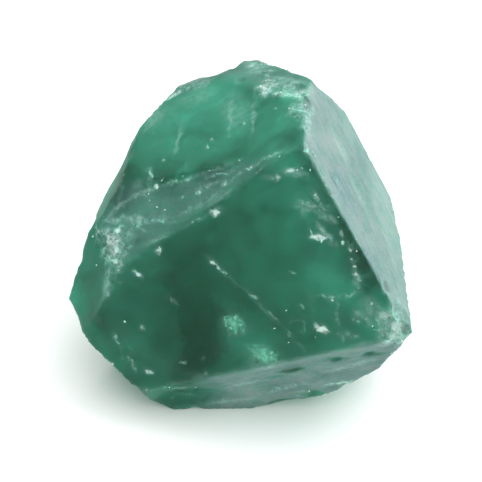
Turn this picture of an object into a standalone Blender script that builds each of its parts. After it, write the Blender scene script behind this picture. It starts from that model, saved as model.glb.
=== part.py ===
"""A raw emerald: one broken piece of clear green crystal, about 39 mm wide, 33 mm deep and 34 mm high.

The stone has no complete crystal form. It is a block that came off along flat cleavage and growth
faces, with smaller bevels between them, shallow shell-shaped hollows on the broad faces, a few pits,
and small chips all along its edges. It stands on its largest flat face.
"""

import bisect
import math
import random

import bmesh
import bpy
from mathutils import Matrix, Vector

MM = 0.001

# The heart is the point inside the stone from which its faces are measured.
HEART = Vector((0.97, -0.07, 16.7)) * MM
BLOCK_SIZE = 80 * MM

# Each face: the compass direction it looks in (degrees from +X towards +Y), how far it looks up or
# down (degrees), and its distance from the heart (mm).
FACES = {
    # The broad faces that give the stone its look from the front and the right.
    "front": (-108, 25, 9.2),
    "right": (-10, 39, 16.0),
    "shoulder": (-167, 61, 11.7),
    "ledge": (-135, 43, 10.5),
    "apron": (-89, -18, 15.9),
    "left": (-151, 27, 13.9),
    "left_bevel": (-129, 28, 12.0),
    # Bevels down the right side.
    "right_outer": (-5, 34, 16.1),
    "right_high": (40, 36, 18.5),
    "right_back": (24, 19, 17.2),
    "right_mid": (7, 5, 17.8),
    "right_low": (1, 0, 18.1),
    # Bevels around the top.
    "crown": (146, 74, 15.7),
    "crown_back": (50, 44, 19.4),
    "top_bevel": (145, 62, 16.5),
    # Bevels down the left side.
    "left_rim": (176, 33, 15.0),
    "left_rim_back": (151, 32, 17.5),
    "left_back": (157, 19, 16.8),
    "left_high": (164, 13, 16.7),
    # The undercut faces that lead in to the foot.
    "left_low": (-160, -23, 21.2),
    "keel_left": (-147, -34, 20.8),
    "keel_front": (-124, -41, 21.4),
    "apron_right": (-73, -47, 19.9),
    "corner_low": (-44, -39, 20.8),
    "corner": (-26, -26, 21.1),
    # The back.
    "back": (95, -6, 14.6),
    "back_low": (66, -38, 15.6),
    "back_left": (140, -24, 15.5),
    "back_right": (35, -14, 15.8),
    # The foot, which the stone rests on.
    "foot": (0, -90, 16.7),
}

# Hollows and pits sunk square to the face they lie on. Each one: the direction from the heart to
# its middle (compass and height, degrees), then its half length, half width and depth (mm), and
# the slope of its long side across the face (degrees).
HOLLOWS = {
    # Broad, shell-shaped hollows that reach the edges of their faces.
    "shoulder_hollow": (134, 59, 8.5, 6.5, 0.40, 70),
    "ledge_hollow": (-145, 40, 9.5, 3.0, 0.40, 56),
    "front_hollow": (-94, 11, 16.0, 12.0, 0.28, 0),
    "right_hollow": (-20, 36, 11.0, 5.0, 0.28, -120),
    "apron_hollow": (-78, -38, 8.5, 2.4, 0.35, 25),
    "left_hollow": (-164, -15, 5.0, 3.2, 0.40, 60),
    "back_hollow": (92, 4, 11.0, 8.0, 0.90, 20),
    "back_left_hollow": (138, -12, 9.0, 7.0, 0.80, 70),
    "back_right_hollow": (34, -14, 8.0, 6.0, 0.80, 80),
    "back_low_hollow": (66, -36, 9.0, 6.0, 0.70, 0),
    # Flakes that came off beside an edge.
    "apron_flake": (-115, -46, 5.2, 2.2, 0.80, 15),
    "ledge_flake": (-120, 65, 3.4, 0.8, 0.20, 56),
    "back_flake": (75, 30, 5.0, 4.0, 1.00, -40),
    "back_left_flake": (150, 12, 5.5, 3.5, 0.80, 30),
    "back_right_flake": (20, 8, 5.0, 2.5, 0.50, 60),
    # Grooves and pits.
    "right_groove": (-27, 27, 6.5, 0.4, 0.14, -117),
    "right_groove_high": (-8, 47, 6.0, 0.5, 0.16, -128),
    "front_scratch": (-104, 18, 1.7, 0.3, 0.15, -35),
    "front_pit_high": (-116, 52, 1.0, 0.7, 0.20, 20),
    "front_pit_right": (-49, 31, 1.6, 0.75, 0.28, 12),
    "front_pit_corner": (-58, -5, 1.3, 0.6, 0.25, -16),
    "front_pit_left": (-149, 1, 1.1, 0.4, 0.18, -23),
    "front_pit_low": (-132, -32, 0.7, 0.5, 0.20, 0),
    "apron_pit": (-67, -27, 1.7, 0.55, 0.45, 30),
    "apron_pit_mid": (-55, -16, 1.1, 0.4, 0.30, 30),
    "apron_pit_right": (-48, -11, 1.0, 0.4, 0.25, 25),
}

# Bites broken out of an edge or a corner, sunk towards the heart, given in the same way.
BITES = {
    "top_notch": (99, 38, 2.7, 2.8, 1.60, 0),
    "right_notch": (36, 53, 1.7, 1.2, 0.55, 40),
    "peak_break": (86, 41, 1.9, 1.4, 0.45, 0),
    "crest_break_high": (46, 67, 1.5, 1.2, 0.35, 30),
    "crest_break": (16, 69, 1.6, 1.1, 0.40, 80),
    "crest_break_low": (-12, 67, 1.3, 0.8, 0.30, 80),
    "left_corner_break": (-171, 6, 1.2, 0.9, 0.40, 80),
    "left_corner_chip": (-164, 5, 1.0, 0.7, 0.30, 30),
    "right_corner_break": (-44, 1, 1.5, 1.1, 0.40, 20),
    "right_corner_tip": (-42, -3, 1.2, 0.9, 0.35, 0),
    "right_corner_chip": (-40, 6, 1.1, 0.7, 0.30, 60),
    "right_edge_chip": (-39, 12, 0.9, 0.6, 0.25, 60),
    "foot_scoop": (-68, -51, 3.4, 1.8, 0.65, 0),
    "foot_notch": (-50, -41, 1.6, 1.1, 0.50, 20),
    "foot_notch_right": (-47, -34, 1.3, 1.0, 0.40, 30),
    "keel_notch": (-132, -35, 1.4, 1.0, 0.40, 0),
}

# Chips along the edges that the faces make with one another.
CHIP_SEED = 11
CHIP_SPACING = 4.4 * MM
SHORTEST_CHIPPED_EDGE = 2.5 * MM
CHIP_HALF_LENGTH = (0.40 * MM, 1.15 * MM)
CHIP_WIDTH_SHARE = (0.55, 0.85)
CHIP_DEPTH_SHARE = (0.22, 0.38)
CHIP_TWIST = 25

# A scar is a flattened ball sunk by this share of its radius. SCAR_REACH is the radius of the mark
# that such a ball leaves, as a share of its own. Longer scars take a finer ball.
SCAR_SINK = 0.30
SCAR_REACH = math.sqrt(1 - (1 - SCAR_SINK) ** 2)
BALL_STEPS = (0.95 * MM, 2.5 * MM, 5.9 * MM)

EMERALD_GREEN = (0.035, 0.200, 0.125, 1.0)


def new_collection(name):
    collection = bpy.data.collections.new(name)
    bpy.context.scene.collection.children.link(collection)
    return collection


def direction(compass, height):
    """The unit vector that looks along a compass direction and a height, in degrees."""
    compass = math.radians(compass)
    height = math.radians(height)
    level = math.cos(height)
    return Vector((level * math.cos(compass), level * math.sin(compass), math.sin(height)))


def hew_block():
    """Cut a block back to every face in turn, closing the body after each cut."""
    stone = bmesh.new()
    bmesh.ops.create_cube(stone, size=BLOCK_SIZE, matrix=Matrix.Translation(HEART))
    for compass, height, distance in FACES.values():
        outward = direction(compass, height)
        cut = bmesh.ops.bisect_plane(
            stone,
            geom=stone.verts[:] + stone.edges[:] + stone.faces[:],
            dist=1e-7,
            plane_co=HEART + outward * distance * MM,
            plane_no=outward,
            clear_outer=True,
        )
        rim = [item for item in cut["geom_cut"] if isinstance(item, bmesh.types.BMEdge)]
        bmesh.ops.contextual_create(stone, geom=rim)
    bmesh.ops.recalc_face_normals(stone, faces=stone.faces[:])
    return stone


def unit_ball(subdivisions):
    """A ball of radius 1 that every scar of one fineness shares."""
    ball = bmesh.new()
    bmesh.ops.create_icosphere(ball, subdivisions=subdivisions, radius=1.0)
    mesh = bpy.data.meshes.new(f"Scar ball {subdivisions}")
    ball.to_mesh(mesh)
    ball.free()
    return mesh


def sink_scar(name, spot, outward, half_length, half_width, depth, slope):
    """Place a flattened ball so that it takes a dish out of the surface at the spot."""
    level = Vector((0, 0, 1)).cross(outward)
    if level.length < 0.01:
        level = Vector((1, 0, 0))
    across = Matrix.Rotation(math.radians(slope), 3, outward) @ level.normalized()
    along = outward.cross(across)
    thickness = depth / SCAR_SINK
    frame = Matrix((across, along, outward)).transposed().to_4x4()
    stretch = Matrix.Diagonal((half_length / SCAR_REACH, half_width / SCAR_REACH, thickness, 1))
    ball = bpy.data.objects.new(name, balls[bisect.bisect(BALL_STEPS, half_length)])
    ball.matrix_world = Matrix.Translation(spot + outward * (thickness - depth)) @ frame @ stretch
    ball.hide_render = True
    ball.display_type = "WIRE"
    cutters.objects.link(ball)


def sink_hollows(block):
    """Sink each hollow square to its face, and each bite towards the heart."""
    for name, (compass, height, half_length, half_width, depth, slope) in (HOLLOWS | BITES).items():
        towards = direction(compass, height)
        _, spot, face_outward, _ = block.ray_cast(HEART, towards)
        outward = towards if name in BITES else face_outward
        sink_scar(name, spot, outward, half_length * MM, half_width * MM, depth * MM, slope)


def chip_edges(stone):
    """Take small chips, at uneven places and of uneven sizes, out of every edge but the shortest."""
    chance = random.Random(CHIP_SEED)
    for edge in stone.edges:
        length = edge.calc_length()
        if length < SHORTEST_CHIPPED_EDGE:
            continue
        first, last = (vertex.co for vertex in edge.verts)
        outward = sum((face.normal for face in edge.link_faces), Vector()).normalized()
        run = (last - first).normalized()
        level = Vector((0, 0, 1)).cross(outward).normalized()
        slope = math.degrees(math.atan2(outward.cross(level).dot(run), level.dot(run)))
        count = max(1, round(length / CHIP_SPACING))
        for number in range(count):
            place = (number + chance.uniform(0.1, 0.9)) / count
            half_length = chance.uniform(*CHIP_HALF_LENGTH)
            half_width = half_length * chance.uniform(*CHIP_WIDTH_SHARE)
            depth = half_length * chance.uniform(*CHIP_DEPTH_SHARE)
            name = f"chip_{edge.index:02d}_{number}"
            spot = first.lerp(last, place)
            twist = chance.uniform(-CHIP_TWIST, CHIP_TWIST)
            sink_scar(name, spot, outward, half_length, half_width, depth, slope + twist)


def emerald_material():
    material = bpy.data.materials.new("emerald")
    material.use_nodes = True
    shader = material.node_tree.nodes["Principled BSDF"]
    shader.inputs["Base Color"].default_value = EMERALD_GREEN
    shader.inputs["Roughness"].default_value = 0.28
    shader.inputs["Metallic"].default_value = 0.0
    shader.inputs["IOR"].default_value = 1.58
    return material


for old in list(bpy.data.objects):
    bpy.data.objects.remove(old)

specimen = new_collection("Raw emerald crystal")
cutters = new_collection("Scar cutters")
balls = [unit_ball(subdivisions) for subdivisions in (1, 2, 3, 4)]

hewn = hew_block()
crystal_mesh = bpy.data.meshes.new("emerald_crystal")
hewn.to_mesh(crystal_mesh)
crystal = bpy.data.objects.new("emerald_crystal", crystal_mesh)
crystal.data.materials.append(emerald_material())
specimen.objects.link(crystal)
bpy.context.view_layer.update()

sink_hollows(crystal)
chip_edges(hewn)
hewn.free()

scars = crystal.modifiers.new("Scars", "BOOLEAN")
scars.operation = "DIFFERENCE"
scars.solver = "EXACT"
scars.operand_type = "COLLECTION"
scars.collection = cutters
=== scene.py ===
import math

import bmesh
import bpy
import numpy as np
from mathutils import Euler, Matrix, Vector, noise


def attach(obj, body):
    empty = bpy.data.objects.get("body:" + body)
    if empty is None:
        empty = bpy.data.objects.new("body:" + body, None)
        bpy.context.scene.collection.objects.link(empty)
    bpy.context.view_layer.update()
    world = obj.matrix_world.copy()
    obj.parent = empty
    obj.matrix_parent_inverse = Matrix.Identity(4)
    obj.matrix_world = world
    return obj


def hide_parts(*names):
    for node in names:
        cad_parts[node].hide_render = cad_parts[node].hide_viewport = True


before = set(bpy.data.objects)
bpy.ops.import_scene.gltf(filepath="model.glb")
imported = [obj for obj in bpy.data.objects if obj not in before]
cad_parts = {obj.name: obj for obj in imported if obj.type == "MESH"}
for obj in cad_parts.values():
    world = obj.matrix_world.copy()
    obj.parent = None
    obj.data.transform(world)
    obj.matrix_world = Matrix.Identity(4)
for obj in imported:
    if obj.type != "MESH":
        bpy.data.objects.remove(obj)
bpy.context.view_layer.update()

# ------------------------------------------------------------------------------------------------
# The stone. One broken lump of clear green crystal: flat growth and cleavage faces, some glassy
# and some frosted, with worn chipped edges between them. Its body is one closed mesh, laid over
# the solid in fine even squares that are then given the relief of a broken stone.
# ------------------------------------------------------------------------------------------------
MM = 0.001
HEART = np.array((0.97, -0.07, 16.7))    # the point its faces are measured from, in mm
FINE_GRID = 0.248 * MM                   # the side of the even squares
# The squares are cut in a turned frame, so that no face of the stone lies level with their grid.
GRID_TURN = Euler((math.radians(88.2), math.radians(55.4), math.radians(19.1))).to_matrix().to_4x4()
BERYL_IOR = 1.57

# Each face: compass and height of the way it looks in degrees, distance from the heart in mm,
# how frosted it is from 0 to 1, the slope of its growth lines in degrees, and how cloudy the
# crystal is behind it.
FACES = {
    "front": (-108, 25, 9.2, 0.03, -35, 0.54),
    "right": (-10, 39, 16.0, 0.95, -122, 0.85),
    "shoulder": (-167, 61, 11.7, 0.06, 70, 0.80),
    "ledge": (-135, 43, 10.5, 0.40, 48, 0.84),
    "apron": (-89, -18, 15.9, 0.74, 20, 0.80),
    "left": (-151, 27, 13.9, 0.04, 120, 0.92),
    "left_bevel": (-129, 28, 12.0, 0.14, 122, 0.92),
    "right_outer": (-5, 34, 16.1, 0.78, -122, 0.80),
    "right_high": (40, 36, 18.5, 0.72, -120, 0.75),
    "right_back": (24, 19, 17.2, 0.60, -120, 0.70),
    "right_mid": (7, 5, 17.8, 0.55, -120, 0.70),
    "right_low": (1, 0, 18.1, 0.50, -120, 0.65),
    "crown": (146, 74, 15.7, 0.30, 20, 0.60),
    "crown_back": (50, 44, 19.4, 0.55, 0, 0.65),
    "top_bevel": (145, 62, 16.5, 0.75, 10, 0.65),
    "left_rim": (176, 33, 15.0, 0.06, 60, 1.00),
    "left_rim_back": (151, 32, 17.5, 0.35, 60, 0.50),
    "left_back": (157, 19, 16.8, 0.25, 60, 0.50),
    "left_high": (164, 13, 16.7, 0.22, 60, 0.50),
    "left_low": (-160, -23, 21.2, 0.12, 20, 0.45),
    "keel_left": (-147, -34, 20.8, 0.10, 20, 0.42),
    "keel_front": (-124, -41, 21.4, 0.20, 20, 0.42),
    "apron_right": (-73, -47, 19.9, 0.60, 20, 0.60),
    "corner_low": (-44, -39, 20.8, 0.55, 20, 0.60),
    "corner": (-26, -26, 21.1, 0.55, 20, 0.60),
    "back": (95, -6, 14.6, 0.40, 15, 0.50),
    "back_low": (66, -38, 15.6, 0.35, 15, 0.50),
    "back_left": (140, -24, 15.5, 0.10, 60, 0.45),
    "back_right": (35, -14, 15.8, 0.55, 80, 0.60),
    "foot": (0, -90, 16.7, 0.30, 0, 0.50),
}

# Where the crystal is milkier and paler (above 0) or clearer and darker (below 0) than its face:
# compass and height from the heart, reach in mm, and how much. Some spots are the stone's own
# cloudy and clear patches, and some are painted light and painted shade.
MILK_AND_PAINTED_LIGHT_SPOTS = (
    # The front face: pale by the right corner and the rims, deep green low in the middle, with
    # painted shade along the ridge to the right face.
    (-95, 10, 8.0, -0.14), (-53, 15, 2.6, 0.40), (-45, 4, 2.9, 0.55), (-54, 53, 2.2, 0.40),
    (-48.5, 64, 1.6, 0.40), (-141, -23, 2.0, 0.25), (-124, -32, 2.0, 0.20), (-55, -7, 2.2, 0.35),
    (-95.5, -19, 2.2, 0.45), (-81, -19, 2.2, 0.35), (-111, -18, 3.6, -0.50), (-128, -2, 3.4, -0.42),
    (-87, 38, 2.4, -0.05), (-38, 57, 1.1, -0.50), (-41, 34, 1.0, -0.40), (-147.5, 10, 1.6, 0.25),
    (-41, 22, 1.1, -0.50), (-42, 14, 1.1, -0.60), (-54, 37.5, 1.8, 0.20), (-80, 63.5, 1.8, 0.22),
    (-117.5, -33.5, 1.5, -0.35), (-112, -29, 2.4, -0.45), (-48, 44, 1.6, 0.30),
    (-47, 31, 1.3, 0.30), (-151, -19, 1.5, -0.20),
    # The shoulder, the ledge under it and the left corner, with painted shade on the shoulder
    # beside the ledge and on the left rim, and painted light in the shaded pit by the crest.
    (-40, 59, 1.6, 0.35), (108, 54, 3.6, 0.50), (132, 40, 2.6, 0.30), (170, 70, 3.2, 0.15),
    # The pale spot at 35.5, 64.5 is painted light in a pit that lies in shade.
    (6.5, 73.5, 2.6, 0.30), (35.5, 64.5, 1.5, 0.95), (-49, 11, 2.0, 0.30), (91.5, 75, 2.2, 0.35),
    (-148, 71, 2.0, -0.35), (-110, 75, 2.0, -0.30), (-178, 46, 2.0, -0.45),
    # The dark spot at 174, 23 is painted shade on the left rim.
    (-161.5, 66.5, 1.8, -0.45), (174, 23, 2.4, -0.85), (165, 25.5, 1.6, -0.35),
    (155, 28.5, 1.6, -0.22), (-166.5, 30, 1.5, 0.15), (-147.5, 52.5, 1.6, 0.10),
    (-107, 68, 1.5, 0.35), (-168.5, 14, 1.6, 0.45), (-152, 33, 2.2, 0.15),
    (-165.5, -8.5, 1.8, -0.25), (-156.5, -17.5, 1.7, -0.30), (-172, -17, 1.8, 0.35),
    (-42.5, 19, 0.8, -0.45), (-44, 12, 0.8, -0.45), (-42, 29, 0.8, -0.40), (-31, 68, 1.0, -0.30),
    # The right face and the apron.
    (-16, 16, 2.6, 0.25), (5.5, 51.5, 1.5, 0.55), (5.5, 44, 1.2, 0.35), (9, 32, 2.0, -0.45),
    (-24, 47, 1.5, -0.45), (1.5, 15, 2.8, 0.40), (7.5, 23.5, 1.5, 0.30), (-12, 11, 2.2, 0.20),
    (-25, 36.5, 1.6, -0.35), (-39.5, 19, 1.6, -0.20), (-119, -44, 3.0, -0.30),
    (-85.5, -46.5, 2.0, 0.30), (-49, -23, 2.2, -0.15), (-68.5, -25.5, 1.6, -0.30),
    (-64, -32.5, 1.6, 0.50), (-67, -27, 1.3, -0.45), (-55, -16, 1.0, -0.45), (-47, -11, 0.9, -0.40),
    (-57, -42, 1.2, -0.40), (-44.5, -13.5, 1.6, -0.35),
)

# Glassy chips in the frosted faces: compass and height, half length, half width, slope.
BARE = (
    (-169.5, 56, 4.3, 0.80, 40), (-119, -42, 4.3, 4.0, 5), (-67, -27, 1.8, 0.75, 20),
    (-55, -16, 1.1, 0.55, 15), (-47, -11, 0.9, 0.45, 15), (-57, -42, 1.4, 0.8, 10),
    (-75, -35, 0.9, 0.4, 20), (-31, 59, 0.5, 0.12, -120), (-34, 53, 0.7, 0.12, -120),
)

# Places where the stone is crushed to a white sugar, each a compass and height from the heart, a
# reach in mm and a strength: the crest, and the corners that take the knocks.
CRUSHED = (
    (69, 62, 1.5, 0.70), (50, 65, 1.2, 0.70), (14, 68, 1.4, 0.62), (81, 48, 1.4, 0.50),
    (-12, 66, 0.8, 0.35), (30, 66, 1.0, 0.62), (0, 67, 0.9, 0.55), (109, 43, 0.9, 0.45),
    (-168, 6, 1.4, 0.70), (-164, 5, 1.5, 0.85), (-174, 5, 1.0, 0.55), (-159, 3, 1.0, 0.75),
    (-44, 1, 1.6, 0.80), (-46, 4, 1.2, 0.45), (-43, -3, 1.1, 0.80), (-46, 7, 0.9, 0.30),
    (-61, -43, 0.8, 0.5),
)

# Places on the flat faces that are broken to a low rough relief: the same four numbers.
ROUGH = (
    (-46, 45, 2.0, 1.0), (-43, 57, 1.6, 0.9), (-45, 5, 2.4, 0.4), (-42, 24, 1.0, 0.8),
    (-44, 14, 1.0, 0.8), (-119, -44, 3.0, 0.9), (-168, 8, 1.8, 0.8), (176, 34, 1.5, 0.5),
    (-57, -6, 1.6, 0.5), (-141, -26, 2.0, 0.5),
)

# Places where loose crushed grains still cling to the flat faces: the same four numbers.
SPECKLED = (
    (-46, 45, 2.4, 0.5), (-43, 56, 1.5, 0.5), (-35.5, 60, 1.2, 0.5), (-43, 22, 1.5, 0.5),
    (-44, 14, 1.5, 0.5), (-45, 5, 1.6, 0.2), (-50, 5, 2.0, 0.08), (-170, 36, 1.8, 0.3),
    (-58, -8, 1.5, 0.3), (-70, -8, 2.5, 0.12), (-165, 5, 2.4, 0.4), (-118, -42, 2.5, 0.15),
    (-40, 34, 1.2, 0.5), (-41, 28, 1.2, 0.5), (-140, -28, 2.5, 0.15),
)

# Soft pale hazes, where fine cracks lie just under the surface, and one painted highlight in the
# shaded pit by the crest: compass and height, half length and half width in mm, slope in degrees,
# and how strong.
HAZE = (
    (-178.5, 18, 2.1, 0.28, 65, 0.45), (-178, 31.5, 1.7, 0.26, 45, 0.50),
    (-170, 50.5, 2, 0.24, 40, 0.35), (-149.5, 69, 2.3, 0.24, 45, 0.35),
    (175.5, 23.5, 1.2, 0.24, 110, 0.15), (178, 37.5, 1, 0.24, 120, 0.40),
    (176, 31, 0.9, 0.30, 80, 0.20), (-174.5, 14.5, 1.6, 0.28, 30, 0.60),
    (-167.5, 21, 1.3, 0.28, 20, 0.70), (-159.5, 29.5, 1.5, 0.24, 35, 0.40),
    (-176, 6, 0.5, 0.28, -5, 0.90), (-171.5, 7.5, 0.8, 0.30, 15, 0.85),
    (-167, 7.5, 1.5, 1.10, -35, 1.35), (-170.5, 7.5, 1.3, 0.80, 10, 1.20),
    (-166, 4.5, 1.1, 0.70, 60, 1.20), (-164.5, 8.5, 0.8, 0.28, -10, 0.50),
    (-165, 12.5, 1, 0.50, 50, 0.45), (70, 64, 1.2, 0.70, 10, 1.20), (51.5, 67, 1.3, 0.28, 45, 0.75),
    # The haze at 35.5, 64.5 is painted light on a pit that lies in shade.
    (36, 67, 1.6, 0.48, 50, 0.80), (35.5, 64.5, 1.2, 0.90, 0, 1.20), (11, 68, 1.5, 0.45, 0, 0.55),
    (49.5, 60.5, 1.5, 0.40, 70, 0.60), (73, 57, 1.8, 0.30, 40, 0.60),
    (85, 46, 0.7, 0.38, 110, 0.80), (74.5, 52, 0.7, 0.38, 85, 0.70),
    (61.5, 59, 1.6, 0.42, 70, 0.45), (121, 34.5, 1.2, 0.42, 80, 1.10),
    (114, 39.5, 1.2, 0.36, 65, 0.60), (131.5, 31.5, 1.6, 0.28, 130, 0.45),
    (-48.5, 3.5, 0.5, 0.45, -45, 0.50), (-45, 7.5, 0.4, 0.35, -65, 0.30),
    (-43, 1.5, 1.2, 0.75, -25, 1.15), (-44, 4.5, 1.2, 0.55, 35, 0.95),
    (-45, -1.5, 1.4, 0.55, 55, 0.95), (-40, 4, 1.5, 0.50, -150, 0.60),
    (-52.5, -3, 0.4, 0.40, 0, 0.35), (-54, -2.5, 1.2, 0.24, -80, 0.30),
    (-43, 3, 0.5, 0.30, -45, 0.60), (-49, 45.5, 1.3, 0.50, 5, 0.40),
    (-44, 38.5, 0.9, 0.42, -15, 0.60), (-46.5, 34, 1.1, 0.36, -40, 0.60),
    (-44.5, 19.5, 0.8, 0.24, -65, 0.30), (-45.5, 13, 1.2, 0.24, -70, 0.50),
    (-45.5, 6, 1, 0.28, -45, 0.35), (-46, 59.5, 1.1, 0.42, 0, 0.50), (-59.5, 64, 1, 0.28, 15, 0.30),
    (96, 66, 3, 1.60, 10, 0.20), (114.5, 45, 2.4, 1.10, 60, 0.22),
    (101.5, 65.5, 2.9, 0.22, -20, 0.38), (70.5, 75.5, 3.1, 0.22, -20, 0.38),
    (141, 47, 2.3, 0.22, -25, 0.38), (-138, 50.5, 2.3, 0.20, 50, 0.40),
    (-133, 65.5, 2.1, 0.20, 40, 0.42), (-115.5, 60.5, 1.8, 0.20, 55, 0.42),
    (-155, -9, 1.2, 0.22, -110, 0.45), (-158, -4.5, 2.2, 0.45, -80, 0.40),
    (-157, -4.5, 2.4, 0.22, -85, 0.42), (-106.5, 17, 1.8, 0.22, -35, 0.18),
    (-90.5, 6, 1.6, 0.20, -25, 0.20), (-77, -3.5, 2.2, 0.20, -35, 0.28),
    (-59, 2, 2.4, 0.18, -70, 0.12), (4, 48, 2.3, 0.55, -120, 0.16),
    (-13.5, 33.5, 2.6, 0.40, -120, 0.16), (-23.5, 45, 0.9, 0.35, -110, 0.20),
    (-89, -41, 2.3, 0.35, 25, 0.38), (-70.5, -42, 2.5, 0.35, 30, 0.36),
    (-50, -19.5, 2.5, 0.35, 30, 0.36), (-93.5, -51, 2.3, 0.35, 10, 0.36),
    (-46.5, 30, 0.9, 0.45, -25, 0.60), (-170, 12, 0.8, 0.45, 15, 0.70),
    (-48.5, -31.5, 1.8, 0.30, 20, 0.85), (133.5, 32.5, 1.8, 1.00, 120, 0.30),
    (128, 37.5, 1.6, 1.10, 135, 0.08), (-94, -13.5, 1.5, 1.20, -20, 0.28),
    (-80, -21.8, 2.0, 1.40, -15, 0.30), (-67.5, -11, 2.1, 0.20, -35, 0.28),
    (-45, 16.5, 1.8, 0.22, -65, 0.35),
)

# Small white flakes and nicks: compass and height, half length and half width in mm, slope in
# degrees, and how white.
FLECKS = (
    # On the front face.
    (-48.5, 31.5, 1.2, 0.42, 5, 1.1), (-50.5, 35, 0.6, 0.17, -60, 0.8),
    (-58.5, -4.5, 1.0, 0.40, -20, 1.1), (-116, 52.5, 0.7, 0.55, 25, 1.0),
    (-109.5, 18, 1.1, 0.21, -35, 0.9), (-100.5, 13, 0.6, 0.18, -25, 0.8),
    (-82.5, 2.5, 0.7, 0.30, 0, 0.7), (-146.5, 15.5, 0.6, 0.40, 65, 0.9),
    (-149.5, 0.5, 0.8, 0.28, -20, 0.9), (-153.5, -4.5, 0.2, 0.23, 0, 0.8),
    (-130, -9, 0.9, 0.21, -20, 0.6), (-139.5, -19.5, 0.4, 0.40, -35, 0.8),
    (-130.5, -31.5, 0.7, 0.32, -10, 0.9), (-118, -29.5, 0.4, 0.21, -10, 0.7),
    (-108.5, -28, 0.2, 0.2, -5, 0.7), (-106.5, -31, 0.2, 0.2, -15, 0.7),
    (-75.5, -4.5, 2.1, 0.17, -35, 0.50), (-67.5, -11.5, 1.7, 0.18, -40, 0.52),
    (-52.5, 6.5, 0.2, 0.23, 0, 1.0), (-53.5, 7.5, 1.2, 0.17, 5, 0.6),
    (-48.5, 9, 1.3, 0.18, 30, 0.6), (-43, 23.5, 1.1, 0.20, -45, 0.45),
    (-44.5, 16.5, 1.4, 0.20, -70, 0.48), (-43.5, 27.5, 0.28, 0.20, -65, 0.9),
    (-43.5, 24.5, 0.30, 0.22, -45, 1.0), (-44, 21.5, 0.28, 0.22, -65, 0.9),
    (-44.5, 19, 0.34, 0.20, -10, 1.0), (-45, 16.5, 0.32, 0.24, -40, 1.0),
    (-45, 14, 0.28, 0.22, -10, 0.9), (-46, 11, 0.34, 0.22, -55, 0.8),
    (-45, 7.5, 0.40, 0.30, -45, 0.8), (-47, 61, 0.6, 0.23, 10, 0.9),
    (-57, 62.5, 0.6, 0.29, 25, 0.8), (-43, 56, 0.6, 0.23, -35, 0.8), (-46, 45, 2.2, 0.50, 5, 0.62),
    (-43, 45, 1.6, 0.35, -40, 0.65), (-43, 30.5, 0.4, 0.2, -55, 0.8),
    # On the shoulder, the ledge and the left corner.
    (-35.5, 62, 1.5, 0.22, -165, 0.60), (-176.5, 40, 0.5, 0.35, 40, 1.0),
    (171.5, 38, 0.3, 0.23, 25, 0.8), (-162.5, 57.5, 0.4, 0.21, 35, 0.7),
    (-144.5, 58, 0.7, 0.23, 55, 0.7), (-113.5, 68.5, 0.5, 0.23, 50, 0.8),
    (-157, 48.5, 0.4, 0.2, 35, 0.7), (-78, 72, 1.2, 0.21, 50, 0.8), (-51, 71, 1.2, 0.2, 75, 0.7),
    (-95, 78.5, 0.4, 0.21, 50, 0.7), (86, 76.5, 0.4, 0.25, 5, 0.8),
    (136.5, 68.5, 0.3, 0.2, 15, 0.8), (150, 69, 0.4, 0.21, 5, 0.8), (160, 43.5, 0.2, 0.2, 30, 0.8),
    (40, 73, 0.2, 0.2, 45, 0.8), (-170.5, 12.5, 0.5, 0.40, 5, 1.0), (171, 38, 1.2, 0.18, 0, 0.7),
    (-168.5, 53.5, 2.6, 0.17, 35, 0.6), (-128.5, 71.5, 2.4, 0.17, 35, 0.55),
    (-126, 60, 1.4, 0.20, 50, 0.50), (-162, 20, 1.5, 0.30, 20, 0.50),
    (-150, 21, 2.6, 0.16, 50, 0.55), (-165, 5, 1.3, 0.70, 60, 0.90), (-172, 5, 0.7, 0.50, 20, 0.85),
    (-160, 3, 0.9, 0.50, -60, 0.80), (-134, 41, 2.2, 0.16, 40, 0.55),
    (-162.5, 2.5, 1.0, 0.25, -70, 0.75), (-161, 8.5, 0.9, 0.23, 50, 0.7),
    # Streaks on the ledge and the left bevel, and the clumps of the crest.
    (-93, 71.5, 1.5, 0.24, 55, 0.50), (-174, 14, 1.5, 0.25, 60, 0.50),
    (-159.5, 1, 1.0, 0.23, -40, 0.55), (-156, -3.5, 0.8, 0.22, -90, 0.50),
    (66, 65, 1.2, 0.70, 25, 0.62), (37, 67, 1.3, 0.60, 55, 0.60), (12, 69, 1.4, 0.50, -10, 0.52),
    (-15.5, 65.5, 1.8, 0.24, -160, 0.38), (79, 47, 1.4, 0.50, 75, 0.50),
    (-46, 1.5, 0.9, 0.60, -35, 0.50), (121, 34.5, 1.3, 0.50, 80, 0.50),
    (-170.5, 13, 1.5, 0.35, 45, 0.62), (-165, 22.5, 1.5, 0.32, 40, 0.58),
    (-154, 32, 1.6, 0.23, 20, 0.50), (85.5, 44, 1.0, 0.60, 95, 0.60),
    (43, 64.5, 1.8, 0.70, 65, 0.52), (28.5, 67, 1.7, 0.55, 45, 0.66),
    # Fine cracks and nicks low on the front, along its left rim and in the chip under it.
    (-145.5, -23, 1.4, 0.18, -60, 0.6), (-137.5, -29.5, 1.2, 0.18, -50, 0.6),
    (-119, -38, 1.5, 0.21, 20, 0.55), (-118, -48, 1.6, 0.18, -10, 0.5),
    (-65.5, -4.5, 1.0, 0.15, 25, 0.5), (-68, -11, 0.9, 0.15, -25, 0.5),
    (-63.5, -6.5, 1.0, 0.15, -90, 0.5), (-53, 1.5, 1.5, 0.15, -80, 0.5),
    (-54, -5, 0.9, 0.15, -55, 0.5), (-51.5, -3.5, 1.1, 0.35, 5, 0.5),
    (-49.5, 1, 0.6, 0.35, -30, 0.6), (-61.5, 17, 0.4, 0.23, -15, 0.6),
    (-62.5, 1.5, 0.3, 0.23, -45, 0.6),
)

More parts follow.
